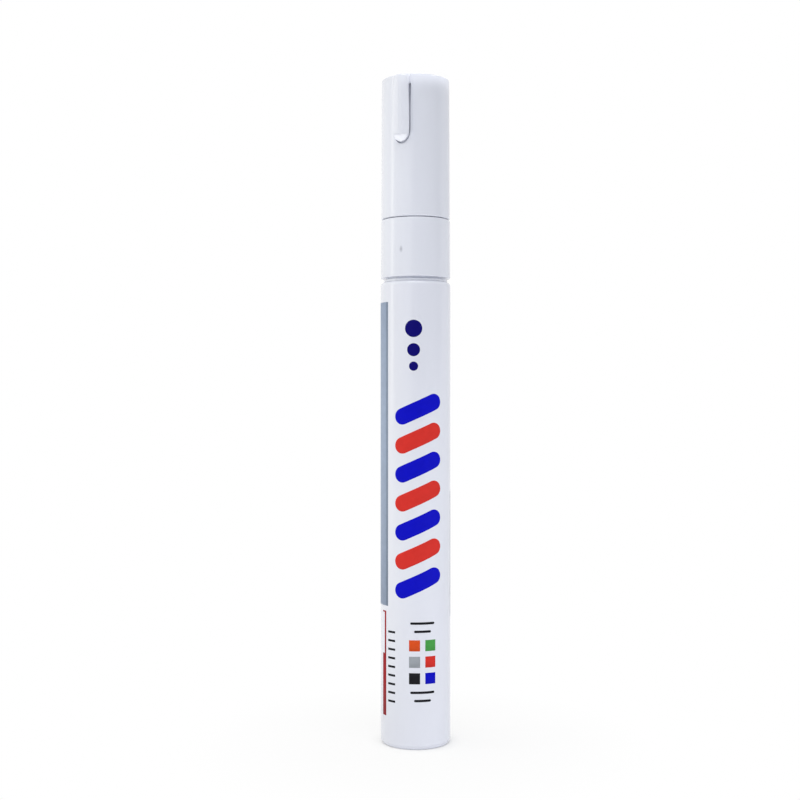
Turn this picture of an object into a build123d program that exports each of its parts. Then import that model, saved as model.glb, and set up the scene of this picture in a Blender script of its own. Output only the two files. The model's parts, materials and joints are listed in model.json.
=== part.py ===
from build123d import *
import os

# Valve-action paint marker. It stands on its foot with its axis on Z and its clip towards -Y.
# All sizes are in millimetres.

# Barrel: drawn aluminium tube with a closed foot and a mouth rolled inward
barrel_diameter = 14.8
barrel_length = 97.3
barrel_wall = 0.5
barrel_floor = 1.0
foot_bevel = 0.45
foot_bevel_height = 0.85
foot_rounding = 0.2
floor_rounding = 0.3
mouth_bend = 0.4
mouth_lip = 1.2

# Front section: moulded collar, cap seat and nose, held by the rolled mouth
mouth_gap = 0.8
flange_inset = 0.5
flange_height = 0.45
neck_groove = 0.35
collar_height = 12.3
collar_step = 0.05
collar_draft = 0.05
collar_rear_edge = 0.45
collar_front_edge = 0.28
seat_length = 7.5
seat_edge = 0.4
snap_bead = 0.15
snap_bead_width = 1.2
snap_bead_height = 3.6
nose_step = 0.5
nose_cone_length = 6.0
nose_land_length = 3.6
nose_wall = 1.65
nose_edge = 0.4
insert_wall = 1.6
insert_lead = 0.6
sealing_rib = 0.2
sealing_rib_width = 0.6
sealing_rib_pitch = 1.8
sealing_rib_count = 3
vent_width = 0.7
vent_depth = 0.3
vent_count = 3

# Nib: fibre rod with the same bullet point at both ends
nib_diameter = 4.0
nib_length = 26.0
nib_protrusion = 5.0
nib_taper = 3.0
nib_flat = 0.7
nib_point_rounding = 0.5
nib_shoulder_rounding = 3.0

# Valve: seat disc, stem, spring and cage behind the nib
stem_reach = 5.0
stem_pin_diameter = 2.4
stem_head_height = 1.0
stem_boss_diameter = 2.8
stem_boss_length = 1.5
stem_rod_diameter = 2.0
stem_rod_end = 0.5
chamber_length = 3.5
chamber_gap = 1.2
seat_disc_height = 3.0
seat_flow_gap = 0.4
seat_cone_depth = 1.5
seat_contact_width = 1.2
cage_height = 10.5
cage_wall = 0.8
cage_floor = 1.2
cage_inset = 1.4
cage_lip = 0.25
flow_hole_diameter = 1.6
flow_hole_count = 4
spring_wire = 0.45
spring_boss_gap = 0.225
spring_turns = 6.5

# Mixing ball
ball_diameter = 6.0

# Cap: moulded shell with a clip, and the liner that seals the nose
cap_seam = 0.15
cap_step = 0.025
cap_draft = 0.1
cap_wall = 1.1
cap_crown = 1.4
cap_crown_rounding = 0.25
cap_mouth_edge = 0.28
cap_mouth_lead = 0.3
cap_bore_margin = 0.6
cap_bore_step = 0.1
snap_groove = 0.12
tip_clearance = 5.3
liner_wall = 0.8
liner_lead = 0.3
liner_rounding = 0.5
land_margin = 0.6
rib_length = 9.0
rib_thickness = 0.9
rib_count = 6
clip_length = 14.25
clip_width = 3.72
clip_thickness = 0.93
clip_gap = 0.15
clip_bridge = 2.0
clip_root = 1.05
clip_dome_radius = 4.5
clip_end_length = 2.8
clip_end_rounding = 0.2
clip_top_rounding = 0.6
clip_tip = 1.65
clip_bevel = 0.58
clip_bead = 0.35
clip_bead_length = 1.6
pocket_depth = 0.6
pocket_margin = 0.25
pocket_end = 0.3

# Clearances, measured on the radius or along the axis
press_gap = 0.02
slide_gap = 0.05
seal_gap = 0.03

# Radii, from the barrel inward
barrel_radius = barrel_diameter / 2
barrel_bore = barrel_radius - barrel_wall
lip_radius = barrel_radius - mouth_lip
insert_radius = barrel_bore - sealing_rib - press_gap
neck_radius = lip_radius - slide_gap
flange_radius = barrel_radius - flange_inset
groove_radius = flange_radius - neck_groove
collar_rear_radius = barrel_radius - collar_step
collar_front_radius = collar_rear_radius - collar_draft
cap_mouth_radius = collar_front_radius - cap_step
cap_top_radius = cap_mouth_radius - cap_draft
cap_bore = cap_mouth_radius - cap_wall
bead_radius = cap_bore - slide_gap
seat_radius = bead_radius - snap_bead
nose_base_radius = seat_radius - nose_step
nib_radius = nib_diameter / 2
nib_bore = nib_radius + slide_gap
land_radius = nib_radius + nose_wall
chamber_radius = nib_radius + chamber_gap
valve_bore = insert_radius - insert_wall
valve_radius = valve_bore - press_gap
cage_bore = valve_radius - cage_wall
pin_radius = stem_pin_diameter / 2
seat_hole = pin_radius + seat_flow_gap
head_radius = seat_hole + seat_contact_width
boss_radius = stem_boss_diameter / 2
rod_radius = stem_rod_diameter / 2
rod_hole = rod_radius + slide_gap
spring_radius = boss_radius + spring_boss_gap + spring_wire / 2
ball_radius = ball_diameter / 2
liner_bore = land_radius + slide_gap
liner_radius = liner_bore + liner_wall

# Heights, from the foot up to the nib's point, then down through the valve, then up to the cap's crown
under_lip = barrel_length - barrel_wall
collar_bottom = barrel_length + mouth_gap
shoulder = collar_bottom + collar_height
seat_top = shoulder + seat_length
land_bottom = seat_top + nose_cone_length
nose_top = land_bottom + nose_land_length
nib_point = nose_top + nib_protrusion
nib_rear = nib_point - nib_length
valve_top = nib_rear - stem_reach
chamber_top = nib_rear + chamber_length
cage_top = valve_top - seat_disc_height
cage_bottom = cage_top - cage_height
cage_floor_top = cage_bottom + cage_floor
insert_bottom = cage_bottom - cage_inset
cone_top = cage_top + seat_cone_depth
head_cone_bottom = cone_top - seat_contact_width - seal_gap
head_bottom = head_cone_bottom - stem_head_height
cap_mouth = shoulder + cap_seam
cap_bore_top = seat_top + cap_bore_margin
bead_height = shoulder + snap_bead_height
liner_mouth = land_bottom + land_margin
liner_ceiling = nib_point + tip_clearance
cap_ceiling = liner_ceiling + liner_wall
cap_top = cap_ceiling + cap_crown


def turned(*corners):
    """Solid of revolution about Z. A corner is (radius, height), and a third number rounds it."""
    outline = make_face(Polyline(*[corner[:2] for corner in corners], close=True))
    for radius, height, rounding in [corner for corner in corners if len(corner) == 3]:
        vertex = outline.vertices().sort_by_distance((radius, height))[0]
        outline = fillet(vertex, rounding)
    return revolve(Plane.XZ * outline, Axis.Z)


def around(count, piece):
    """Copies of a piece, evenly turned about Z."""
    return [Rot(Z=360 * step / count) * piece for step in range(count)]


def make_barrel():
    """Tube, closed flat foot with a bevelled edge and rolled mouth in one wall."""
    return turned(
        (0, 0),
        (barrel_radius - foot_bevel, 0, foot_rounding),
        (barrel_radius, foot_bevel_height, foot_rounding),
        (barrel_radius, barrel_length, mouth_bend + barrel_wall),
        (lip_radius, barrel_length),
        (lip_radius, under_lip),
        (barrel_bore, under_lip, mouth_bend),
        (barrel_bore, barrel_floor, floor_rounding),
        (0, barrel_floor),
    )


def make_front_section():
    """Insert with sealing ribs, neck with a flange on the rolled mouth, collar, cap seat and nose."""
    section = turned(
        (valve_bore, insert_bottom),
        (insert_radius - insert_lead, insert_bottom),
        (insert_radius, insert_bottom + insert_lead),
        (insert_radius, under_lip - press_gap, mouth_bend),
        (neck_radius, under_lip - press_gap),
        (neck_radius, barrel_length + press_gap),
        (flange_radius, barrel_length + press_gap),
        (flange_radius, barrel_length + flange_height),
        (groove_radius, barrel_length + flange_height),
        (groove_radius, collar_bottom),
        (collar_rear_radius, collar_bottom, collar_rear_edge),
        (collar_front_radius, shoulder, collar_front_edge),
        (seat_radius, shoulder),
        (seat_radius, seat_top, seat_edge),
        (nose_base_radius, seat_top),
        (land_radius, land_bottom),
        (land_radius, nose_top, nose_edge),
        (nib_bore, nose_top),
        (nib_bore, chamber_top),
        (chamber_radius, chamber_top),
        (chamber_radius, valve_top),
        (valve_bore, valve_top),
    )
    for number in range(sealing_rib_count):
        middle = insert_bottom + insert_lead + sealing_rib_pitch * (number + 1)
        section += turned(
            (valve_bore + insert_wall / 2, middle - sealing_rib_width),
            (insert_radius, middle - sealing_rib_width / 2),
            (insert_radius + sealing_rib, middle - sealing_rib_width / 4),
            (insert_radius + sealing_rib, middle + sealing_rib_width / 4),
            (insert_radius, middle + sealing_rib_width / 2),
            (valve_bore + insert_wall / 2, middle + sealing_rib_width),
        )
    section += turned(
        (seat_radius - snap_bead, bead_height - snap_bead_width),
        (bead_radius, bead_height - snap_bead_width / 4),
        (bead_radius, bead_height + snap_bead_width / 4),
        (seat_radius - snap_bead, bead_height + snap_bead_width),
    )
    section += turned(
        (valve_bore + insert_wall / 2, insert_bottom),
        (valve_bore + insert_wall / 2, cage_bottom - press_gap),
        (valve_bore - cage_lip, cage_bottom - press_gap),
        (valve_bore, insert_bottom),
    )
    vent_length = nose_top - chamber_top
    vent = Pos(nib_bore, 0, (nose_top + chamber_top) / 2) * Box(2 * vent_depth, vent_width, vent_length)
    return section - around(vent_count, vent)


def make_nib():
    """Bullet point at each end, so that a worn nib can be turned round."""
    return turned(
        (0, nib_rear),
        (nib_flat, nib_rear, nib_point_rounding),
        (nib_radius, nib_rear + nib_taper, nib_shoulder_rounding),
        (nib_radius, nib_point - nib_taper, nib_shoulder_rounding),
        (nib_flat, nib_point, nib_point_rounding),
        (0, nib_point),
    )


def make_valve_seat():
    """Disc with a flow hole that opens into a cone on the paint side."""
    return turned(
        (seat_hole, valve_top),
        (valve_radius, valve_top),
        (valve_radius, cage_top),
        (seat_hole + seat_cone_depth, cage_top),
        (seat_hole, cone_top),
    )


def make_valve_stem():
    """Pin up to the nib, conical head on the seat, boss inside the spring and guide rod."""
    head_cone_top = cone_top + seat_hole - pin_radius - seal_gap
    return turned(
        (0, nib_rear),
        (pin_radius, nib_rear),
        (pin_radius, head_cone_top),
        (head_radius, head_cone_bottom),
        (head_radius, head_bottom),
        (boss_radius, head_bottom),
        (boss_radius, head_bottom - stem_boss_length),
        (rod_radius, head_bottom - stem_boss_length),
        (rod_radius, cage_bottom - stem_rod_end),
        (0, cage_bottom - stem_rod_end),
    )


def make_valve_spring():
    """Compression spring between the cage's floor and the stem's head."""
    coil_height = head_bottom - cage_floor_top - spring_wire - 2 * seal_gap
    coil_start = cage_floor_top + seal_gap + spring_wire / 2
    coil = Helix(coil_height / spring_turns, coil_height, spring_radius, center=(0, 0, coil_start))
    return sweep(Plane(coil @ 0, z_dir=coil % 0) * Circle(spring_wire / 2), path=coil, is_frenet=True)


def make_valve_cage():
    """Cup with the stem's guide hole and a ring of flow holes in its floor."""
    cup = turned(
        (rod_hole, cage_bottom),
        (valve_radius, cage_bottom),
        (valve_radius, cage_top),
        (cage_bore, cage_top),
        (cage_bore, cage_floor_top),
        (rod_hole, cage_floor_top),
    )
    hole_ring = (spring_radius + spring_wire / 2 + cage_bore) / 2
    hole = Pos(hole_ring, 0, cage_bottom + cage_floor / 2) * Cylinder(flow_hole_diameter / 2, cage_floor)
    return cup - around(flow_hole_count, hole)


def make_mixing_ball():
    """Loose ball on the barrel's floor."""
    return Pos(0, 0, barrel_floor + press_gap + ball_radius) * Sphere(ball_radius)


def cap_radius(height):
    """The cap's drafted outside."""
    return cap_mouth_radius - cap_draft * (height - cap_mouth) / (cap_top - cap_mouth)


def tongue_outline(margin, end_margin):
    """The clip's outline, grown by a margin and carried from the axis to outside the marker."""
    end_centre = cap_top - clip_length + clip_end_length
    outline = Pos(0, (end_centre + cap_top) / 2) * Rectangle(clip_width + 2 * margin, cap_top - end_centre)
    outline += Pos(0, end_centre) * Ellipse(clip_width / 2 + margin, clip_end_length + end_margin)
    return extrude(Plane.XZ * outline, barrel_diameter)


def make_pocket():
    """Hollow in the cap's wall behind the clip, with room round the tongue."""
    bottom = cap_top - clip_length - pocket_end
    top = cap_top - clip_bridge
    ring = turned(
        (cap_radius(bottom) - pocket_depth, bottom),
        (barrel_radius, bottom),
        (barrel_radius, top),
        (cap_radius(top) - pocket_depth, top),
    )
    return ring & tongue_outline(pocket_margin, pocket_end)


def make_clip():
    """Tongue that hangs from the cap's crown, with a bevelled end and a gripping bead inside it."""
    clip_bottom = cap_top - clip_length
    crease = clip_bottom + clip_tip
    bridge_bottom = cap_top - clip_bridge
    root_radius = cap_top_radius - clip_root
    inner_top = cap_radius(bridge_bottom) + clip_gap
    inner_bottom = cap_radius(clip_bottom) + clip_gap
    outer_top = cap_top_radius + clip_gap + clip_thickness
    outer_bottom = inner_bottom + clip_thickness
    side = turned(
        (root_radius, cap_top),
        (outer_top, cap_top, clip_top_rounding),
        (cap_radius(crease) + clip_gap + clip_thickness, crease),
        (outer_bottom - clip_bevel, clip_bottom, clip_end_rounding),
        (inner_bottom - clip_bead, clip_bottom, clip_end_rounding),
        (inner_bottom - clip_bead, clip_bottom + clip_bead_length),
        (inner_bottom, clip_bottom + clip_bead_length + clip_bead),
        (inner_top, bridge_bottom),
        (root_radius, bridge_bottom),
    )
    dome = Pos(0, clip_dome_radius - outer_bottom) * Cylinder(
        clip_dome_radius, cap_top, align=(Align.CENTER, Align.CENTER, Align.MIN)
    )
    dome += Pos(0, (clip_dome_radius - outer_bottom) / 2, cap_top / 2) * Box(
        2 * clip_dome_radius, outer_bottom - clip_dome_radius, cap_top
    )
    return side & tongue_outline(0, 0) & dome


def make_cap():
    """Drafted shell with a snap groove, ribs that hold the liner, and the clip over its pocket."""
    cavity_radius = cap_top_radius - cap_wall
    shell = turned(
        (cap_bore + cap_mouth_lead, cap_mouth),
        (cap_mouth_radius, cap_mouth, cap_mouth_edge),
        (cap_top_radius, cap_top, cap_crown_rounding),
        (0, cap_top),
        (0, cap_ceiling),
        (cavity_radius, cap_ceiling),
        (cap_bore - cap_bore_step, cap_bore_top),
        (cap_bore, cap_bore_top),
        (cap_bore, cap_mouth + cap_mouth_lead),
    )
    shell -= turned(
        (cap_bore - snap_groove, bead_height - snap_bead_width),
        (cap_bore + snap_groove, bead_height - snap_bead_width / 4),
        (cap_bore + snap_groove, bead_height + snap_bead_width / 4),
        (cap_bore - snap_groove, bead_height + snap_bead_width),
    )
    shell -= make_pocket()
    rib_inner = liner_radius + press_gap
    rib_outer = cavity_radius + cap_wall / 2
    rib_middle = Pos((rib_inner + rib_outer) / 2, 0, cap_ceiling - rib_length / 2)
    rib = rib_middle * Box(rib_outer - rib_inner, rib_thickness, rib_length)
    return shell + around(rib_count, rib) + make_clip()


def make_inner_cap():
    """Sealing liner: a cup, mouth down, that slides over the nose's land."""
    return turned(
        (0, cap_ceiling),
        (liner_radius, cap_ceiling, liner_rounding),
        (liner_radius, liner_mouth),
        (liner_bore + liner_lead, liner_mouth),
        (liner_bore, liner_mouth + liner_lead),
        (liner_bore, liner_ceiling, liner_rounding),
        (0, liner_ceiling),
    )


pieces = {
    "barrel": make_barrel(),
    "front_section": make_front_section(),
    "nib": make_nib(),
    "valve_seat": make_valve_seat(),
    "valve_stem": make_valve_stem(),
    "valve_spring": make_valve_spring(),
    "valve_cage": make_valve_cage(),
    "mixing_ball": make_mixing_ball(),
    "cap": make_cap(),
    "inner_cap": make_inner_cap(),
}

os.makedirs("parts", exist_ok=True)
for name, piece in pieces.items():
    export_step(piece, f"parts/{name}.step")
print(f"marker {cap_top:.1f} mm long, {barrel_diameter:.1f} mm across")
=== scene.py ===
import json
import bmesh
import bpy
import numpy as np
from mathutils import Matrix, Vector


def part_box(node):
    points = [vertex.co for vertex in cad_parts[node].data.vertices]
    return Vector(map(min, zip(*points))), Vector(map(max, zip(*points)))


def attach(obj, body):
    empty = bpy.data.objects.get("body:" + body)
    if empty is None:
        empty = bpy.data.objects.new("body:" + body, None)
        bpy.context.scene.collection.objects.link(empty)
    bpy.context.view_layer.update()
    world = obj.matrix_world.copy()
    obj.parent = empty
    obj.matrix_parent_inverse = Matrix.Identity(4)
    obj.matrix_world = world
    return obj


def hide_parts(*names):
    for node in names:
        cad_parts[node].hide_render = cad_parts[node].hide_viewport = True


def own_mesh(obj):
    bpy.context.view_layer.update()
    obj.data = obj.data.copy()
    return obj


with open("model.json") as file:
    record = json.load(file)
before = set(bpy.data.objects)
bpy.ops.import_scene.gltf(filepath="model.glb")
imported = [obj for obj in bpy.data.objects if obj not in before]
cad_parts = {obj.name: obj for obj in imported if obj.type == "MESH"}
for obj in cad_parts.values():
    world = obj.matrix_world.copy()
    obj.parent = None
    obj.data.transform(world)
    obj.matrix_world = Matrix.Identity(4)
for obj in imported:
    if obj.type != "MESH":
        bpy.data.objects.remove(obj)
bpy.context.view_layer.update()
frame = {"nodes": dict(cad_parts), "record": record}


# Barrel. A tube drawn from aluminium together with its closed foot, then lacquered white all over.
# Its mouth is rolled inward over the front section and holds it for good.
mounts = {mount["name"]: mount for mount in frame["record"]["mounts"]}
barrel_radius = mounts["barrel_grip"]["dims"]["r_mm"] / 1000
barrel_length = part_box("barrel")[1].z
barrel_wall = 0.0005
barrel_floor = 0.001
foot_bevel = 0.00045
foot_bevel_height = 0.00085
foot_rounding = 0.0002
floor_rounding = 0.0003
mouth_bend = 0.0004
lip_radius = barrel_radius - 0.0012
edge_rounding = 0.0001
lacquer_white = (0.775, 0.797, 0.885)
smooth_angle = np.radians(38)
merge_distance = 1e-8
noise_dark, noise_bright = 0.3, 0.7


def rounded(corners, arc_steps=12):
    """Outline of (radius, height, rounding) corners, or a stack of such outlines. An arc that touches
    both sides takes each corner's place: its centre lies on the corner's bisector, and it swings by the
    turn of the outline there."""
    corners = np.asarray(corners, float)
    point, rounding = corners[..., None, :2], corners[..., None, 2:]
    before = np.roll(point, 1, axis=-3) - point
    after = np.roll(point, -1, axis=-3) - point
    before /= np.linalg.norm(before, axis=-1, keepdims=True)
    after /= np.linalg.norm(after, axis=-1, keepdims=True)
    bisector = before + after
    along = after - before
    bisector /= np.maximum(np.linalg.norm(bisector, axis=-1, keepdims=True), 1e-12)
    along /= np.maximum(np.linalg.norm(along, axis=-1, keepdims=True), 1e-12)
    half = np.arccos(np.clip((before * after).sum(-1, keepdims=True), -1, 1)) / 2
    swing = np.linspace(-1, 1, arc_steps)[:, None] * (np.pi / 2 - half)
    centre = point + bisector * rounding / np.sin(half)
    arcs = centre + rounding * (along * np.sin(swing) - bisector * np.cos(swing))
    return arcs.reshape(*corners.shape[:-2], -1, 2)


def lathe(outline, turn_steps=256):
    """Grid of points: outline point i at radius r_i and height z_i, turned by 2 pi j / n about Z."""
    turn = np.linspace(0, 2 * np.pi, turn_steps, endpoint=False)
    radius, height = outline[:, :1], outline[:, 1:]
    return np.stack(np.broadcast_arrays(radius * np.cos(turn), radius * np.sin(turn), height), axis=-1)


def surface(name, points, closed_rows=False, closed_columns=True):
    """Mesh of a grid of points, one quad to a cell. A closed direction joins its last line to its first,
    and points that fall together, as at a pole, are merged."""
    rows, columns = points.shape[:2]
    index = np.arange(rows * columns).reshape(rows, columns)
    if closed_rows:
        index = np.vstack([index, index[:1]])
    if closed_columns:
        index = np.hstack([index, index[:, :1]])
    quads = np.stack([index[:-1, :-1], index[:-1, 1:], index[1:, 1:], index[1:, :-1]], axis=-1)
    mesh = bpy.data.meshes.new(name)
    mesh.from_pydata(points.reshape(-1, 3).tolist(), [], quads.reshape(-1, 4).tolist())
    draft = bmesh.new()
    draft.from_mesh(mesh)
    bmesh.ops.remove_doubles(draft, verts=draft.verts, dist=merge_distance)
    draft.to_mesh(mesh)
    draft.free()
    mesh.shade_smooth()
    mesh.set_sharp_from_angle(angle=smooth_angle)
    piece = bpy.data.objects.new(name, mesh)
    bpy.context.scene.collection.objects.link(piece)
    return piece


def new_material(name):
    """Material with a Principled shader, as (material, node tree, shader)."""
    material = bpy.data.materials.new(name)
    material.use_nodes = True
    return material, material.node_tree, material.node_tree.nodes["Principled BSDF"]


def grain(tree, size, detail=2.0, stretch=(1, 1, 1)):
    """Noise on Object coordinates with blobs of about that size in metres, drawn out along each axis."""
    coordinates = tree.nodes.new("ShaderNodeTexCoord")
    mapping = tree.nodes.new("ShaderNodeMapping")
    mapping.inputs["Scale"].default_value = [1 / (size * factor) for factor in stretch]
    noise = tree.nodes.new("ShaderNodeTexNoise")
    noise.inputs["Scale"].default_value = 1.0
    noise.inputs["Detail"].default_value = detail
    tree.links.new(coordinates.outputs["Object"], mapping.inputs["Vector"])
    tree.links.new(mapping.outputs["Vector"], noise.inputs["Vector"])
    return noise.outputs["Fac"]


def vary_value(tree, source, low, high, socket):
    """Drives a number by a noise, from low where it is dark to high where it is bright."""
    span = tree.nodes.new("ShaderNodeMapRange")
    span.inputs["From Min"].default_value = noise_dark
    span.inputs["From Max"].default_value = noise_bright
    span.inputs["To Min"].default_value = low
    span.inputs["To Max"].default_value = high
    tree.links.new(source, span.inputs["Value"])
    tree.links.new(span.outputs["Result"], socket)


def vary_colour(tree, source, dark, bright, socket):
    """Drives a colour by a noise, between two colours that stand a little apart."""
    ramp = tree.nodes.new("ShaderNodeValToRGB")
    low_stop, high_stop = ramp.color_ramp.elements
    low_stop.position = noise_dark
    high_stop.position = noise_bright
    low_stop.color = (*dark, 1)
    high_stop.color = (*bright, 1)
    tree.links.new(source, ramp.inputs["Fac"])
    tree.links.new(ramp.outputs["Color"], socket)


def add_bump(tree, shader, source, depth, strength=1.0):
    """Raises the surface by a noise, depth metres from its lowest to its highest."""
    bump = tree.nodes.new("ShaderNodeBump")
    bump.inputs["Strength"].default_value = strength
    bump.inputs["Distance"].default_value = depth
    tree.links.new(source, bump.inputs["Height"])
    tree.links.new(bump.outputs["Normal"], shader.inputs["Normal"])


def shade_of(colour, factor):
    """The same colour, lighter or darker."""
    return tuple(channel * factor for channel in colour)


def lacquer_material():
    """Stove lacquer: even white with a faint orange peel and a slightly uneven gloss."""
    material, tree, shader = new_material("white_lacquer")
    thinner = shade_of(lacquer_white, 0.985)
    vary_colour(tree, grain(tree, 0.009), thinner, lacquer_white, shader.inputs["Base Color"])
    vary_value(tree, grain(tree, 0.004, detail=1.0), 0.14, 0.17, shader.inputs["Roughness"])
    add_bump(tree, shader, grain(tree, 0.0011, detail=1.0), depth=0.000002)
    return material


barrel = surface("barrel_tube", lathe(rounded([
    (0, 0, 0),
    (barrel_radius - foot_bevel, 0, foot_rounding),
    (barrel_radius, foot_bevel_height, foot_rounding),
    (barrel_radius, barrel_length, mouth_bend + barrel_wall),
    (lip_radius, barrel_length, edge_rounding),
    (lip_radius, barrel_length - barrel_wall, edge_rounding),
    (barrel_radius - barrel_wall, barrel_length - barrel_wall, mouth_bend),
    (barrel_radius - barrel_wall, barrel_floor, floor_rounding),
    (0, barrel_floor, 0),
])))
barrel.data.materials.append(lacquer_material())
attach(barrel, "barrel")
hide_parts("barrel")


# Print on the barrel. Screen-printed ink films lie on the lacquer, a few hundredths of a millimetre thick.
# A grey band, slanted strokes in blue and red, dots, colour patches, ticks and rules, each of one colour.
view_turn = np.radians(24)
film_height = 0.000012
film_depth = 0.00003
ink_colours = {
    "blue": (0.003, 0.004, 0.56),
    "red": (0.69, 0.036, 0.028),
    "navy": (0.004, 0.002, 0.155),
    "grey": (0.337, 0.408, 0.545),
    "grey_edge": (0.24, 0.295, 0.39),
    "dark_red": (0.33, 0.018, 0.024),
    "black": (0.012, 0.012, 0.016),
    "green": (0.075, 0.36, 0.075),
    "orange": (0.72, 0.085, 0.016),
    "silver": (0.35, 0.38, 0.42),
}


def ink_material(name, colour):
    """Matt screen ink with faint patches where the film is thinner."""
    material, tree, shader = new_material(name)
    thinner = shade_of(colour, 0.93)
    vary_colour(tree, grain(tree, 0.0014, detail=3.0), thinner, colour, shader.inputs["Base Color"])
    vary_value(tree, grain(tree, 0.0006), 0.42, 0.54, shader.inputs["Roughness"])
    shader.inputs["Specular IOR Level"].default_value = 0.08
    return material


inks = {name: ink_material(f"ink_{name}", colour) for name, colour in ink_colours.items()}


def film(name, ink, places):
    """Ink film over a grid of places: across is the arc in metres to the right of the printed face's
    middle and up is the height. The arc over the radius is the turn about Z."""
    across, up = places
    turn = across / barrel_radius + view_turn - np.pi / 2
    radius = barrel_radius + film_height
    points = np.stack([radius * np.cos(turn), radius * np.sin(turn), up], axis=-1)
    piece = surface(name, points, closed_columns=False)
    piece.data.materials.append(inks[ink])
    thickness = piece.modifiers.new("film", "SOLIDIFY")
    thickness.thickness = film_depth
    thickness.offset = -1
    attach(piece, "barrel")


def panel(left, right, bottom, top, columns=24, rows=2):
    """Grid over a rectangle of arc and height."""
    return np.meshgrid(np.linspace(left, right, columns), np.linspace(bottom, top, rows))


def stroke(centre, length, width, slant=0.0, columns=48, rows=9):
    """Bar with round ends: along its middle line the half width falls to nothing as a half circle."""
    turn = np.linspace(-np.pi / 2, np.pi / 2, columns)
    along = np.sin(turn) * length / 2
    past = np.clip((np.abs(along) - (length - width) / 2) / (width / 2), 0, 1)
    half = width / 2 * np.sqrt(1 - past**2)
    side = np.linspace(-1, 1, rows)[:, None] * half
    along = np.broadcast_to(along, side.shape)
    across = centre[0] + along * np.cos(slant) - side * np.sin(slant)
    up = centre[1] + along * np.sin(slant) + side * np.cos(slant)
    return across, up


band_left, band_right = -0.0119, -0.00665
band_bottom, band_top = 0.0294, 0.0929
band_edge = 0.0007
film("print_band", "grey", panel(band_left, band_right - band_edge, band_bottom, band_top))
film("print_band_edge", "grey_edge", panel(
    band_right - band_edge, band_right, band_bottom, band_top, columns=6))

stroke_count = 7
stroke_middle, stroke_bottom, stroke_top = 0.0005, 0.0345, 0.0705
stroke_length, stroke_width = 0.0108, 0.0034
stroke_slant = np.radians(24)
stroke_inks = ("blue", "red")
for number in range(stroke_count):
    height = stroke_top + (stroke_bottom - stroke_top) * number / (stroke_count - 1)
    bar = stroke((stroke_middle, height), stroke_length, stroke_width, stroke_slant)
    film(f"print_stroke_{number + 1}", stroke_inks[number % 2], bar)

dot_middle = -0.0005
dot_heights = (0.0872, 0.0828, 0.0794)
dot_sizes = (0.0036, 0.0027, 0.0019)
dot_stretch = 1.0001
for number, (height, size) in enumerate(zip(dot_heights, dot_sizes)):
    film(f"print_dot_{number + 1}", "navy", stroke((dot_middle, height), size * dot_stretch, size))

patch_size = 0.0023
patch_step = 0.0034
patch_middle, patch_height = 0.0014, 0.0182
patch_inks = ("orange", "green", "silver", "red", "black", "blue")
for number, ink in enumerate(patch_inks):
    column, row = number % 2, number // 2
    left = patch_middle + (column - 0.5) * patch_step - patch_size / 2
    bottom = patch_height + (1 - row) * patch_step - patch_size / 2
    square = panel(left, left + patch_size, bottom, bottom + patch_size, columns=8)
    film(f"print_patch_{number + 1}", ink, square)

rule_width = 0.0005
rule_lengths = (0.0052, 0.0036)
rule_heights = (0.0262, 0.0245, 0.0119, 0.0102)
for number, height in enumerate(rule_heights):
    line = stroke((patch_middle, height), rule_lengths[number % 2], rule_width)
    film(f"print_rule_{number + 1}", "black", line)

box_left, box_right = -0.0087, -0.0073
box_bottom, box_middle, box_top = 0.0064, 0.0194, 0.0283
box_side_line, box_top_line = 0.0006, 0.00032
box_inner = box_right - box_side_line
film("print_box_side", "dark_red", panel(box_inner, box_right, box_middle, box_top, columns=6))
film("print_box_top", "dark_red", panel(box_left, box_inner, box_top - box_top_line, box_top))
film("print_box_fill", "dark_red", panel(box_left, box_right, box_bottom, box_middle))

tick_count = 9
tick_left, tick_right, tick_width = -0.0066, -0.0046, 0.00045
tick_bottom, tick_step = 0.0095, 0.0018
for number in range(tick_count):
    height = tick_bottom + tick_step * number
    tick = panel(tick_left, tick_right, height, height + tick_width, columns=10)
    film(f"print_tick_{number + 1}", "black", tick)

side_rule_left, side_rule_width = 0.0101, 0.0003
side_rule_bottom, side_rule_top = 0.0268, 0.0532
film("print_side_rule", "grey_edge", panel(
    side_rule_left, side_rule_left + side_rule_width, side_rule_bottom, side_rule_top, columns=4))


# Mixing ball. A loose ball of polished steel that stirs the paint when the marker is shaken.
# It is ground and tumbled, which leaves faint marks, and nothing holds it in the barrel.
ball_low, ball_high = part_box("mixing_ball")
ball_radius = (ball_high.z - ball_low.z) / 2
ball_colour = (0.7, 0.7, 0.72)


def half_circle(radius, middle, steps=49):
    """Outline of a ball: radius times the cosine and the sine of an angle from -90 to 90 degrees."""
    turn = np.linspace(-np.pi / 2, np.pi / 2, steps)
    return np.stack([radius * np.cos(turn), middle + radius * np.sin(turn)], axis=-1)


def steel_material(name, colour, low, high, size):
    """Bare steel whose gloss changes over its surface."""
    material, tree, shader = new_material(name)
    shader.inputs["Metallic"].default_value = 1.0
    duller = shade_of(colour, 0.9)
    vary_colour(tree, grain(tree, size, detail=3.0), duller, colour, shader.inputs["Base Color"])
    vary_value(tree, grain(tree, size / 3, detail=3.0), low, high, shader.inputs["Roughness"])
    return material


ball_outline = half_circle(ball_radius, ball_low.z + ball_radius)
ball = surface("mixing_ball_steel", lathe(ball_outline, turn_steps=96))
ball.data.materials.append(steel_material("ball_polish", ball_colour, low=0.08, high=0.18, size=0.001))
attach(ball, "mixing_ball")
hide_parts("mixing_ball")


# Valve. The cage is pressed into the front section behind the seat disc and guides the stem's rod.
# All three are moulded in natural plastic, a little milky and dull.
milky_white = (0.76, 0.77, 0.76)


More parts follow.
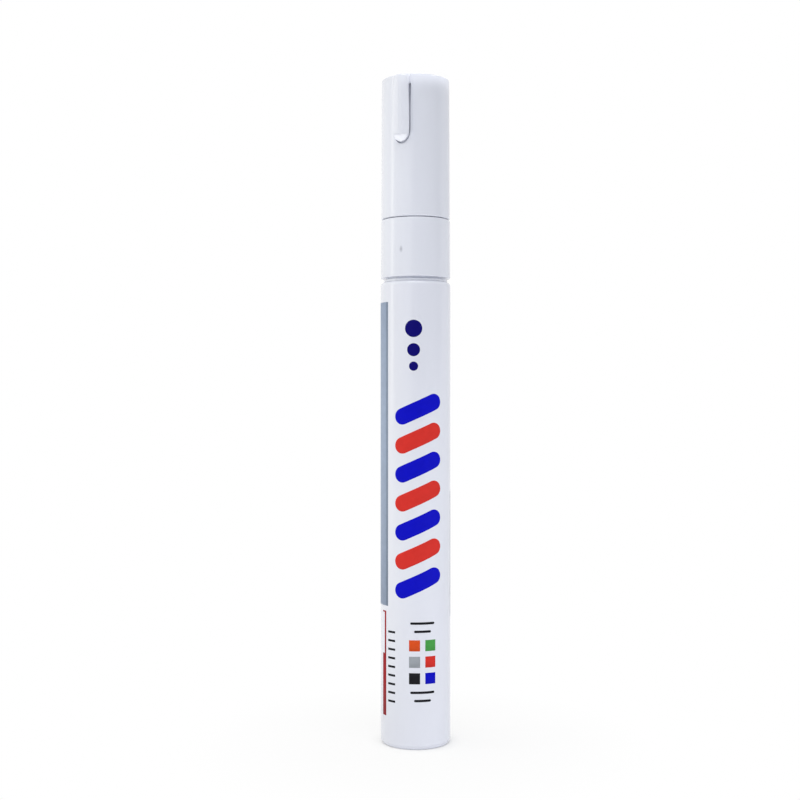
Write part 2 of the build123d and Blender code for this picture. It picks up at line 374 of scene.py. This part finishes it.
def natural_plastic(name):
    """Unpigmented plastic: milky, with a soft uneven gloss."""
    material, tree, shader = new_material(name)
    thicker = shade_of(milky_white, 0.95)
    vary_colour(tree, grain(tree, 0.003), thicker, milky_white, shader.inputs["Base Color"])
    vary_value(tree, grain(tree, 0.0008, detail=3.0), 0.4, 0.52, shader.inputs["Roughness"])
    shader.inputs["Subsurface Weight"].default_value = 0.3
    shader.inputs["Subsurface Radius"].default_value = (0.001, 0.001, 0.001)
    return material


def dress(node, material):
    """Gives a solid of the frame its finish."""
    solid = frame["nodes"][node]
    solid.data.materials.clear()
    solid.data.materials.append(material)


valve_finish = natural_plastic("valve_plastic")
dress("valve_seat", valve_finish)
dress("valve_stem", valve_finish)
dress("valve_cage", valve_finish)


# Valve spring. Drawn steel wire wound into an open coil between the cage's floor and the stem's head.
# The real spring shortens by the nib's travel when the nib is pressed; here it keeps one length.
wire_radius = 0.000225
wire_colour = (0.6, 0.6, 0.62)
coil_radius = 0.00185
coil_turns = 6.5
spring_low, spring_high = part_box("valve_spring")


def coil(radius, wire, low, high, turns, steps=330, sides=14):
    """Round wire along a helix: the middle line turns and climbs evenly, and a circle stands on the
    frame of its outward direction and the binormal. Both ends close in the middle line."""
    turn = np.linspace(0, 2 * np.pi * turns, steps)[:, None]
    climb = (high - low) / (2 * np.pi * turns)
    lean = np.arctan2(climb, radius)
    around = np.linspace(2 * np.pi, 0, sides, endpoint=False)
    out = wire * np.cos(around)
    rise = wire * np.sin(around)
    across = (radius + out) * np.cos(turn) + rise * np.sin(lean) * np.sin(turn)
    along = (radius + out) * np.sin(turn) - rise * np.sin(lean) * np.cos(turn)
    up = low + climb * turn + rise * np.cos(lean)
    line = np.stack([radius * np.cos(turn), radius * np.sin(turn), low + climb * turn], axis=-1)
    ends = [np.repeat(line[end], sides, axis=0)[None] for end in (0, -1)]
    return np.concatenate([ends[0], np.stack([across, along, up], axis=-1), ends[1]])


spring = surface("valve_spring_coil", coil(
    coil_radius, wire_radius, spring_low.z + wire_radius, spring_high.z - wire_radius, coil_turns))
spring.data.materials.append(
    steel_material("spring_wire", wire_colour, low=0.22, high=0.34, size=0.0012))
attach(spring, "barrel")
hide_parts("valve_spring")
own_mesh(spring)


# Front section. One white moulding: the insert inside the barrel, the neck in the rolled mouth, the flange
# and the groove over it, the collar that shows, the seat with its snap bead under the cap, and the nose
# that guides the nib.
section_low, section_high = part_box("front_section")
nib_low, nib_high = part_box("nib")
nib_radius = 0.002
nib_bore = nib_radius + 0.00005
land_radius = nib_radius + 0.00165
chamber_radius = nib_radius + 0.0012
chamber_top = nib_low.z + 0.0035
valve_top = nib_low.z - 0.005
insert_radius = barrel_radius - barrel_wall - 0.00022
insert_chamfer = 0.0006
valve_bore = insert_radius - 0.0016
clamp_gap = 0.00002
neck_radius = lip_radius - 0.00005
rim_radius = barrel_radius - 0.0008
flange_radius = barrel_radius - 0.00065
flange_height = 0.00045
neck_groove = flange_radius - 0.0006
collar_rear_radius = barrel_radius - 0.00005
collar_front_radius = collar_rear_radius - 0.00005
collar_bottom = barrel_length + 0.0008
collar_rounding = 0.0002
seam_rounding = 0.00028
shoulder = collar_bottom + 0.0123
cap_mouth_radius = collar_front_radius - 0.000025
cap_bore = cap_mouth_radius - 0.0011
bead_radius = cap_bore - 0.00005
bead_height = shoulder + 0.0036
bead_width = 0.0012
bead_foot = bead_width * 0.6
bead_flat = bead_width / 4
bead_rounding = 0.0002
seat_radius = bead_radius - 0.00015
seat_top = shoulder + 0.0075
nose_base_radius = seat_radius - 0.0005
nose_foot_rounding = 0.0002
land_bottom = seat_top + 0.006
land_blend = 0.001
nose_rounding = 0.0004
nose_top = section_high.z
vent_count = 3
vent_depth = 0.0003
vent_width = 0.0007
vent_flank = 0.0001
vent_reach = 0.00012
moulded_white = (0.775, 0.8, 0.885)
speck_colour = (0.42, 0.43, 0.5)
speck_place = (-0.00012, -0.0073, 0.1037)
speck_size = 0.00042
speck_squeeze = (1, 1, 0.5)


def add_speck(tree, socket):
    """Mixes one dark speck into a colour, by the distance from its place with the height squeezed.
    Returns the socket for the colour round it."""
    coordinates = tree.nodes.new("ShaderNodeTexCoord")
    flatten = tree.nodes.new("ShaderNodeMapping")
    flatten.inputs["Location"].default_value = [
        -place * squeeze for place, squeeze in zip(speck_place, speck_squeeze)]
    flatten.inputs["Scale"].default_value = speck_squeeze
    distance = tree.nodes.new("ShaderNodeVectorMath")
    distance.operation = "LENGTH"
    edge = tree.nodes.new("ShaderNodeMapRange")
    edge.inputs["From Min"].default_value = speck_size
    edge.inputs["From Max"].default_value = 0
    mix = tree.nodes.new("ShaderNodeMix")
    mix.data_type = "RGBA"
    mix.inputs["B"].default_value = (*speck_colour, 1)
    tree.links.new(coordinates.outputs["Object"], flatten.inputs["Vector"])
    tree.links.new(flatten.outputs["Vector"], distance.inputs[0])
    tree.links.new(distance.outputs["Value"], edge.inputs["Value"])
    tree.links.new(edge.outputs["Result"], mix.inputs["Factor"])
    tree.links.new(mix.outputs["Result"], socket)
    return mix.inputs["A"]


def moulding_material(name, speck=False):
    """White moulded plastic: a fine eroded texture from the mould, faint flow clouds, and on the collar
    one small dark speck."""
    material, tree, shader = new_material(name)
    vary_value(tree, grain(tree, 0.005, detail=1.0), 0.16, 0.19, shader.inputs["Roughness"])
    add_bump(tree, shader, grain(tree, 0.0009, detail=1.0), depth=0.0000012)
    colour = shader.inputs["Base Color"]
    if speck:
        colour = add_speck(tree, colour)
    cloudy = shade_of(moulded_white, 0.988)
    clouds = grain(tree, 0.006, detail=1.0, stretch=(1, 1, 2.5))
    vary_colour(tree, clouds, cloudy, moulded_white, colour)
    return material


def off_pitch(points, count):
    """Each point's radius, and its angle from the nearest of a number of even turns about Z."""
    radius = np.hypot(points[..., 0], points[..., 1])
    turn = np.arctan2(points[..., 1], points[..., 0])
    pitch = 2 * np.pi / count
    return radius, np.abs((turn + pitch / 2) % pitch - pitch / 2)


def vented(points):
    """Draws the nib's bore out into air grooves: where the angle is within half a groove of one of three
    even turns, the bore's radius grows by the groove's depth, with soft flanks."""
    radius, off_turn = off_pitch(points, vent_count)
    off_vent = off_turn * nib_bore
    depth = vent_depth * np.clip((vent_width / 2 + vent_flank / 2 - off_vent) / vent_flank, 0, 1)
    in_bore = (radius < nib_bore + vent_reach) & (points[..., 2] > chamber_top - 1e-7)
    factor = np.where(in_bore, (radius + depth) / np.maximum(radius, 1e-9), 1.0)
    return points * np.stack([factor, factor, np.ones_like(factor)], axis=-1)


front_section = surface("front_section_moulding", vented(lathe(rounded([
    (valve_bore, section_low.z, 0),
    (insert_radius - insert_chamfer, section_low.z, edge_rounding),
    (insert_radius, section_low.z + insert_chamfer, edge_rounding),
    (insert_radius, barrel_length - barrel_wall - clamp_gap, mouth_bend),
    (neck_radius, barrel_length - barrel_wall - clamp_gap, 0),
    (neck_radius, barrel_length + clamp_gap, 0),
    (rim_radius, barrel_length + clamp_gap, 0),
    (flange_radius, barrel_length - clamp_gap, 0),
    (flange_radius, barrel_length + flange_height, edge_rounding),
    (neck_groove, barrel_length + flange_height, 0),
    (neck_groove, collar_bottom, 0),
    (collar_rear_radius, collar_bottom, collar_rounding),
    (collar_front_radius, shoulder, seam_rounding),
    (seat_radius, shoulder, edge_rounding),
    (seat_radius, bead_height - bead_foot, bead_rounding),
    (bead_radius, bead_height - bead_flat, bead_rounding),
    (bead_radius, bead_height + bead_flat, bead_rounding),
    (seat_radius, bead_height + bead_foot, bead_rounding),
    (seat_radius, seat_top, nose_rounding),
    (nose_base_radius, seat_top, nose_foot_rounding),
    (land_radius, land_bottom, land_blend),
    (land_radius, nose_top, nose_rounding),
    (nib_bore, nose_top, edge_rounding),
    (nib_bore, chamber_top, 0),
    (chamber_radius, chamber_top, 0),
    (chamber_radius, valve_top, 0),
    (valve_bore, valve_top, 0),
]))), closed_rows=True)
front_section.data.materials.append(moulding_material("white_moulding_front", speck=True))
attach(front_section, "barrel")
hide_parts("front_section")


# Nib. A rod of bonded fibre ground to a bullet point at both ends, so that it can be turned round.
# It slides in the nose's bore and stands on the valve stem.
nib_taper = 0.003
nib_flat = 0.0007
nib_point_rounding = 0.0005
nib_shoulder_rounding = 0.003
fibre_dark, fibre_bright = (0.66, 0.64, 0.58), (0.84, 0.83, 0.78)


def fibre_material():
    """Bonded fibre: fine threads along the rod, dry and matt."""
    material, tree, shader = new_material("bonded_fibre")
    threads = grain(tree, 0.00016, detail=3.0, stretch=(1, 1, 14))
    vary_colour(tree, threads, fibre_dark, fibre_bright, shader.inputs["Base Color"])
    vary_value(tree, threads, 0.72, 0.88, shader.inputs["Roughness"])
    add_bump(tree, shader, threads, depth=0.00003, strength=0.7)
    return material


nib = surface("nib_fibre", lathe(rounded([
    (0, nib_low.z, 0),
    (nib_flat, nib_low.z, nib_point_rounding),
    (nib_radius, nib_low.z + nib_taper, nib_shoulder_rounding),
    (nib_radius, nib_high.z - nib_taper, nib_shoulder_rounding),
    (nib_flat, nib_high.z, nib_point_rounding),
    (0, nib_high.z, 0),
]), turn_steps=96))
nib.data.materials.append(fibre_material())
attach(nib, "nib")
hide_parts("nib")


# Inner cap. A soft liner pressed between the cap's ribs, which slides over the nose and seals it.
# It is moulded in unpigmented plastic and lets a little light through.
liner_low, liner_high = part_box("inner_cap")
liner_bore = land_radius + 0.00005
liner_radius = liner_high.x
liner_wall = 0.0008
liner_rounding = 0.0005
liner_lip_rounding = 0.0002
lead_in = 0.0003
inner_cap = surface("inner_cap_liner", lathe(rounded([
    (0, liner_high.z, 0),
    (0, liner_high.z - liner_wall, 0),
    (liner_bore, liner_high.z - liner_wall, liner_rounding),
    (liner_bore, liner_low.z + lead_in, edge_rounding),
    (liner_bore + lead_in, liner_low.z, edge_rounding),
    (liner_radius, liner_low.z, liner_lip_rounding),
    (liner_radius, liner_high.z, liner_rounding),
]), turn_steps=160), closed_rows=True)
inner_cap.data.materials.append(natural_plastic("liner_plastic"))
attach(inner_cap, "cap")
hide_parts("inner_cap")


# Cap. One white moulding with a slight draft: the shell, six ribs inside that hold the liner, and the
# clip, a tongue that hangs from the crown over a narrow slot, with a gripping bead at its blunt end.
cap_low, cap_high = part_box("cap")
cap_mouth, cap_top = cap_low.z, cap_high.z
cap_draft = 0.0001
cap_top_radius = cap_mouth_radius - cap_draft
cap_cavity = cap_top_radius - 0.0011
cap_cavity_draft = 0.00002
cap_bore_top = seat_top + 0.0006
cap_bore_step = 0.0001
cap_ceiling = liner_high.z
rib_inner = liner_radius + 0.00002
rib_bottom = cap_ceiling - 0.009
rib_step = 0.00005
rib_half = 0.00045
rib_count = 6
groove_radius = cap_bore + 0.00012
crown_rounding = 0.00025


def cap_radius(up):
    """The cap's drafted outside: its radius falls evenly from the mouth to the crown."""
    return cap_mouth_radius - cap_draft * (up - cap_mouth) / (cap_top - cap_mouth)


def ribbed(points):
    """Draws the cavity's wall in to the ribs: above the ribs' lower end, where the angle is within half
    a rib of one of six even turns, the radius falls to the ribs' inner one."""
    radius, off_turn = off_pitch(points, rib_count)
    inside = (radius > rib_inner) & (radius < cap_bore) & (off_turn * radius < rib_half)
    inside &= (points[..., 2] >= rib_bottom) & (points[..., 2] <= cap_ceiling + 1e-9)
    factor = np.where(inside, rib_inner / np.maximum(radius, 1e-9), 1.0)
    return points * np.stack([factor, factor, np.ones_like(factor)], axis=-1)


cap_shell = surface("cap_moulding", ribbed(lathe(rounded([
    (0, cap_top, 0),
    (0, cap_ceiling, 0),
    (cap_cavity, cap_ceiling, 0),
    (cap_cavity + cap_cavity_draft, rib_bottom, 0),
    (cap_cavity + cap_cavity_draft, rib_bottom - rib_step, 0),
    (cap_bore - cap_bore_step, cap_bore_top, 0),
    (cap_bore, cap_bore_top, 0),
    (cap_bore, bead_height + bead_foot, edge_rounding),
    (groove_radius, bead_height + bead_flat, edge_rounding),
    (groove_radius, bead_height - bead_flat, edge_rounding),
    (cap_bore, bead_height - bead_foot, edge_rounding),
    (cap_bore, cap_mouth + lead_in, edge_rounding),
    (cap_bore + lead_in, cap_mouth, edge_rounding),
    (cap_mouth_radius, cap_mouth, seam_rounding),
    (cap_top_radius, cap_top, crown_rounding),
]), turn_steps=288)), closed_rows=True)

clip_length = 0.01406
clip_half_width = 0.00186
clip_widening = 0.00006
clip_widens = 0.0059
clip_widening_step = 0.0003
clip_undercut = 0.0003
clip_lower_undercut = 0.00018
clip_thickness = 0.00093
clip_gap = 0.00015
clip_bridge = 0.002
clip_root = 0.0009
clip_root_step = 0.00012
clip_end = 0.00275
clip_end_power = 2.2
clip_end_least = 0.00002
clip_bead = 0.00035
clip_bead_rise = 0.0012
clip_bead_length = 0.0007
clip_tip = 0.00146
clip_bevel = 0.00051
clip_softness = 0.00016
clip_crease = 0.00025
clip_flat = 0.00037
clip_flat_share = 0.4
clip_roof = np.radians(15)
clip_ridge = 0.0004
clip_edge = 0.00015
clip_crown_edge = 0.0011
clip_edge_share = 0.6
clip_back_share = 0.3
clip_crown_length = 0.0048
clip_crown_power = 1.6
clip_top_rounding = 0.0006
clip_crown_drop = 0.00012
pocket_depth = 0.0006
pocket_margin = 0.0001
pocket_narrowing = 0.00011
pocket_end = 0.00036
pocket_outside = 0.0005


def clip_half(up, margin, end_margin):
    """Half of the tongue's width at a height, grown by a margin: even, then half a superellipse."""
    centre = cap_top - clip_length + clip_end
    end = np.clip((centre - up) / (clip_end + end_margin), 0, 1)
    return (clip_half_width + margin) * (1 - end**clip_end_power) ** (1 / clip_end_power)


def clip_lower(up):
    """1 below the height at which the tongue widens and 0 above it, with a soft step between."""
    return 1 / (1 + np.exp((up - (cap_top - clip_widens)) / clip_widening_step))


def heights(top, bottom, steps):
    """Column of heights from top to bottom that lie closer together towards both ends: the share of
    the way is half of one minus the cosine of an even turn."""
    share = (1 - np.cos(np.linspace(0, np.pi, steps)))[:, None] / 2
    return top + (bottom - top) * share


def stacked(side, out, up):
    """Closed stack of outlines, each at one height, with out towards -Y. Each end closes in its middle."""
    points = np.stack([side, -out, np.broadcast_to(up, side.shape)], axis=-1)
    middle = np.broadcast_to(points.mean(axis=1, keepdims=True), points.shape)
    return np.concatenate([middle[:1], points, middle[-1:]])


def clip_pocket(steps=90, sides=24):
    """Closed slab behind the tongue: its outline is the tongue's with a margin that narrows lower down,
    and it reaches from the pocket's floor, which follows the cap's curve, to outside the cap."""
    up = heights(cap_top - clip_bridge, cap_top - clip_length - pocket_end, steps)
    wall = cap_radius(up)
    margin = pocket_margin - pocket_narrowing * clip_lower(up)
    side = clip_half(up, margin, pocket_end) * np.linspace(-1, 1, sides)
    floor = np.sqrt((wall - pocket_depth) ** 2 - side**2)
    outside = np.broadcast_to(wall + pocket_outside, floor.shape)
    return stacked(np.hstack([side, side[:, ::-1]]), np.hstack([floor, outside]), up)


def clip_tongue(steps=140):
    """Closed tongue. At each height its section is a low roof with a flat ridge over an inner side that
    follows the cap. The flanks are undercut, less so lower down, and the shoulders are fuller near the
    crown. At the lower end the width closes as half a superellipse, a soft crease leads to a bevel that
    thins the tongue, and the inner side swells to a bead. At the bridge it runs into the wall."""
    top = cap_top - clip_crown_drop
    bottom = cap_top - clip_length
    up = heights(top, bottom, steps)
    wall = cap_radius(up)
    into_wall = 1 / (1 + np.exp(-(up - (cap_top - clip_bridge)) / clip_root_step))
    bead = clip_bead * np.exp(-((up - bottom - clip_bead_rise) / clip_bead_length) ** 2)
    inner = wall + clip_gap - bead - into_wall * (clip_gap + clip_root)
    near_top = np.clip((up - (top - clip_top_rounding)) / clip_top_rounding, 0, 1)
    past_crease = clip_softness / clip_tip * np.logaddexp(0, (bottom + clip_tip - up) / clip_softness)
    half = np.maximum(clip_half(up, clip_widening * clip_lower(up), 0), clip_end_least)
    undercut = clip_undercut + (clip_lower_undercut - clip_undercut) * clip_lower(up)
    back = half * (1 - undercut / clip_half_width)
    near_crease = np.clip((up - bottom - clip_tip) / clip_crease / 2 + 0.5, 0, 1)
    flat = np.minimum(clip_flat, clip_flat_share * half)
    rise = np.tan(clip_roof) * (half - flat) / 2 * near_crease**2 * (3 - 2 * near_crease)
    middle = wall + clip_gap + clip_thickness - np.tan(clip_roof) * (clip_half_width - clip_flat) / 2
    middle = middle - clip_bevel * past_crease - clip_top_rounding * (1 - np.sqrt(1 - near_top**2))
    outer, eave = middle + rise, middle - rise
    near_crown = np.clip((up - (cap_top - clip_crown_length)) / clip_crown_length, 0, 1)
    shoulder_edge = clip_edge + (clip_crown_edge - clip_edge) * near_crown**clip_crown_power
    shoulder_edge = np.minimum(shoulder_edge, clip_edge_share * half)
    ridge_edge = np.minimum(clip_ridge, half)
    back_edge = np.minimum(clip_edge, clip_back_share * half)
    back_out = np.sqrt(inner**2 - back**2)
    section = rounded(np.stack([
        np.hstack([back, back_out, back_edge]),
        np.hstack([half, eave, shoulder_edge]),
        np.hstack([flat, outer, ridge_edge]),
        np.hstack([-flat, outer, ridge_edge]),
        np.hstack([-half, eave, shoulder_edge]),
        np.hstack([-back, back_out, back_edge]),
        np.hstack([0 * half, inner, 0 * half]),
    ], axis=1))
    return stacked(section[..., 0], section[..., 1], up)


def combine(base, tool, operation):
    """Joins a closed piece to another, or cuts it from it, and keeps the result as the base's mesh."""
    step = base.modifiers.new(operation, "BOOLEAN")
    step.operation = operation
    step.object = tool
    step.solver = "EXACT"
    result = bpy.data.meshes.new_from_object(base.evaluated_get(bpy.context.evaluated_depsgraph_get()))
    base.modifiers.remove(step)
    base.data = result
    bpy.data.objects.remove(tool)


def clean_joints(mesh, least_edge=1e-7):
    """Cuts faces of more than four corners into triangles, drops the slivers that joining leaves along
    its seams, and shades the mesh smooth again."""
    draft = bmesh.new()
    draft.from_mesh(mesh)
    bmesh.ops.triangulate(draft, faces=[face for face in draft.faces if len(face.verts) > 4])
    bmesh.ops.dissolve_degenerate(draft, edges=draft.edges, dist=least_edge)
    draft.to_mesh(mesh)
    draft.free()
    mesh.shade_smooth()
    mesh.set_sharp_from_angle(angle=smooth_angle)


combine(cap_shell, surface("cap_clip_pocket", clip_pocket()), "DIFFERENCE")
combine(cap_shell, surface("cap_clip_tongue", clip_tongue()), "UNION")
clean_joints(cap_shell.data)
cap_shell.data.materials.clear()
cap_shell.data.materials.append(moulding_material("white_moulding_cap"))
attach(cap_shell, "cap")
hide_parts("cap")


# Stage. A pale floor that keeps the marker's shadow and fades into a white surround.
# Soft lamps stand on the left, above and low on the right, two flat spots lift the crown and the barrel,
# and a grey card in front on the right shades that side.
scene = bpy.context.scene
scene.view_settings.view_transform = "Standard"

world = bpy.data.worlds.new("studio")
scene.world = world
world.use_nodes = True
world_nodes, world_links = world.node_tree.nodes, world.node_tree.links
world_nodes.clear()
ambient = world_nodes.new("ShaderNodeBackground")
ambient.inputs["Color"].default_value = (0.97, 0.98, 1.0, 1)
ambient.inputs["Strength"].default_value = 0.62
white = world_nodes.new("ShaderNodeBackground")
white.inputs["Color"].default_value = (1, 1, 1, 1)
white.inputs["Strength"].default_value = 1.0


def seen_directly(nodes, links):
    """1 for rays from the camera, a mirror or through glass, and 0 for light that falls on things."""
    path = nodes.new("ShaderNodeLightPath")
    first = nodes.new("ShaderNodeMath")
    first.operation = "MAXIMUM"
    both = nodes.new("ShaderNodeMath")
    both.operation = "MAXIMUM"
    links.new(path.outputs["Is Camera Ray"], first.inputs[0])
    links.new(path.outputs["Is Glossy Ray"], first.inputs[1])
    links.new(first.outputs["Value"], both.inputs[0])
    links.new(path.outputs["Is Transmission Ray"], both.inputs[1])
    return both.outputs["Value"]


world_mix = world_nodes.new("ShaderNodeMixShader")
world_out = world_nodes.new("ShaderNodeOutputWorld")
world_links.new(seen_directly(world_nodes, world_links), world_mix.inputs["Fac"])
world_links.new(ambient.outputs["Background"], world_mix.inputs[1])
world_links.new(white.outputs["Background"], world_mix.inputs[2])
world_links.new(world_mix.outputs["Shader"], world_out.inputs["Surface"])

floor_radius = 0.4
floor_drop = 0.00002
floor_fade = 0.05
fade_stops = ((0.14, 0.2), (0.16, 0.6), (0.2, 0.8), (1.0, 1.0))
rings = np.linspace(0, floor_radius, 24)
floor_outline = np.stack([rings, np.full_like(rings, -floor_drop)], axis=-1)
floor = surface("floor", lathe(floor_outline, turn_steps=96))
floor.data.flip_normals()
floor_material = bpy.data.materials.new("pale_floor")
floor_material.use_nodes = True
floor_nodes, floor_links = floor_material.node_tree.nodes, floor_material.node_tree.links
floor_nodes.clear()
paper = floor_nodes.new("ShaderNodeBsdfDiffuse")
paper.inputs["Color"].default_value = (0.9, 0.9, 0.9, 1)
glow = floor_nodes.new("ShaderNodeEmission")
glow.inputs["Strength"].default_value = 1.0
coordinates = floor_nodes.new("ShaderNodeTexCoord")
distance = floor_nodes.new("ShaderNodeVectorMath")
distance.operation = "LENGTH"
spread = floor_nodes.new("ShaderNodeMath")
spread.operation = "DIVIDE"
spread.inputs[1].default_value = floor_fade
fade = floor_nodes.new("ShaderNodeValToRGB")
for place, level in fade_stops[1:-1]:
    fade.color_ramp.elements.new(place)
for stop, (place, level) in zip(fade.color_ramp.elements, fade_stops):
    stop.position = place
    stop.color = (level, level, level, 1)
direct = floor_nodes.new("ShaderNodeMath")
direct.operation = "MULTIPLY"
floor_mix = floor_nodes.new("ShaderNodeMixShader")
floor_out = floor_nodes.new("ShaderNodeOutputMaterial")
floor_links.new(coordinates.outputs["Object"], distance.inputs[0])
floor_links.new(distance.outputs["Value"], spread.inputs[0])
floor_links.new(spread.outputs["Value"], fade.inputs["Fac"])
floor_links.new(fade.outputs["Color"], direct.inputs[0])
floor_links.new(seen_directly(floor_nodes, floor_links), direct.inputs[1])
floor_links.new(direct.outputs["Value"], floor_mix.inputs["Fac"])
floor_links.new(paper.outputs["BSDF"], floor_mix.inputs[1])
floor_links.new(glow.outputs["Emission"], floor_mix.inputs[2])
floor_links.new(floor_mix.outputs["Shader"], floor_out.inputs["Surface"])
floor.data.materials.append(floor_material)

camera_distance = 0.264
camera_height = 0.0724
camera_aside = 0.0033
camera_data = bpy.data.cameras.new("camera")
camera_data.lens = 55.9
camera_data.sensor_width = 36
camera_data.clip_start = 0.01
camera = bpy.data.objects.new("camera", camera_data)
scene.collection.objects.link(camera)
camera.location = (
    camera_distance * np.sin(view_turn) - camera_aside * np.cos(view_turn),
    -camera_distance * np.cos(view_turn) - camera_aside * np.sin(view_turn),
    camera_height,
)
camera.rotation_euler = (np.pi / 2, 0, view_turn)
scene.camera = camera


def place_light(lamp, turn, distance, height, aim_height, tint, glossy):
    """Stands a lamp round the marker, turned from the camera's side, facing a height on the axis."""
    lamp.color = tint
    light = bpy.data.objects.new(lamp.name, lamp)
    scene.collection.objects.link(light)
    bearing = view_turn + np.radians(turn)
    light.location = (distance * np.sin(bearing), -distance * np.cos(bearing), height)
    light.rotation_euler = (np.pi / 2 - np.arctan2(height - aim_height, distance), 0, bearing)
    light.visible_camera = False
    light.visible_glossy = glossy
    return light


def soft_light(name, width, tall, radiance, turn, distance, height, aim_height, tint=(1, 1, 1),
               glossy=False):
    """Area light at a place round the marker. Its power is its radiance times pi times its area."""
    lamp = bpy.data.lights.new(name, "AREA")
    lamp.shape = "RECTANGLE"
    lamp.size = width
    lamp.size_y = tall
    lamp.energy = radiance * np.pi * width * tall
    return place_light(lamp, turn, distance, height, aim_height, tint, glossy)


def flat_spot(name, power, cone, size, turn, distance, height, aim_height, tint=(1, 1, 1)):
    """Spot at a place round the marker. It fades from its middle to its cone's edge and leaves no glint."""
    lamp = bpy.data.lights.new(name, "SPOT")
    lamp.energy = power
    lamp.spot_size = np.radians(cone)
    lamp.spot_blend = 1.0
    lamp.shadow_soft_size = size
    return place_light(lamp, turn, distance, height, aim_height, tint, glossy=False)


soft_light("key_left", width=0.3, tall=0.24, radiance=0.84, turn=-100, distance=0.3, height=0.2,
           aim_height=0.12, tint=(1, 0.93, 0.68))
soft_light("strip_left", width=0.05, tall=0.2, radiance=2.3, turn=-84, distance=0.3, height=0.17,
           aim_height=0.12, tint=(1, 0.97, 0.86), glossy=True)
soft_light("top_soft", width=0.55, tall=0.55, radiance=2.9, turn=0, distance=0.3, height=0.9,
           aim_height=0.1, glossy=True)
soft_light("fill_low_right", width=0.1, tall=0.08, radiance=1.75, turn=50, distance=0.16, height=0.035,
           aim_height=0.03)
soft_light("front_low_right", width=0.14, tall=0.06, radiance=1.15, turn=24, distance=0.19, height=0.03,
           aim_height=0.04)
tip_light = soft_light("gridded_low_left", width=0.06, tall=0.03, radiance=0.27, turn=-51, distance=0.15,
                       height=0.065, aim_height=0.127, glossy=True)
tip_light.data.spread = np.radians(40)
crown_light = flat_spot("flat_spot_crown_right", power=0.056, cone=8.2, size=0.001, turn=35, distance=0.06,
                        height=0.165, aim_height=0.1388)
crown_light.scale = (3, 1, 1)
flat_spot("flat_spot_barrel_left", power=0.055, cone=60, size=0.01, turn=-80, distance=0.1, height=0.046,
          aim_height=0.046, tint=(1, 0.97, 0.86))

card_radius = 0.3
card_left, card_right = -14, 92
card_bottom, card_top = 0.09, 0.26
card_dark, card_bright = (0.2, 0.2, 0.21), (0.22, 0.22, 0.23)
card_turn = np.radians(np.linspace(card_left, card_right, 40)) + view_turn - np.pi / 2
card_height = np.linspace(card_bottom, card_top, 4)[:, None]
card_points = np.stack(np.broadcast_arrays(
    card_radius * np.cos(card_turn), card_radius * np.sin(card_turn), card_height), axis=-1)
card = surface("grey_card", card_points, closed_columns=False)
card_material, card_tree, card_shader = new_material("grey_card")
vary_colour(card_tree, grain(card_tree, 0.05), card_dark, card_bright, card_shader.inputs["Base Color"])
card_shader.inputs["Roughness"].default_value = 0.9
card.data.materials.append(card_material)
card.visible_camera = False
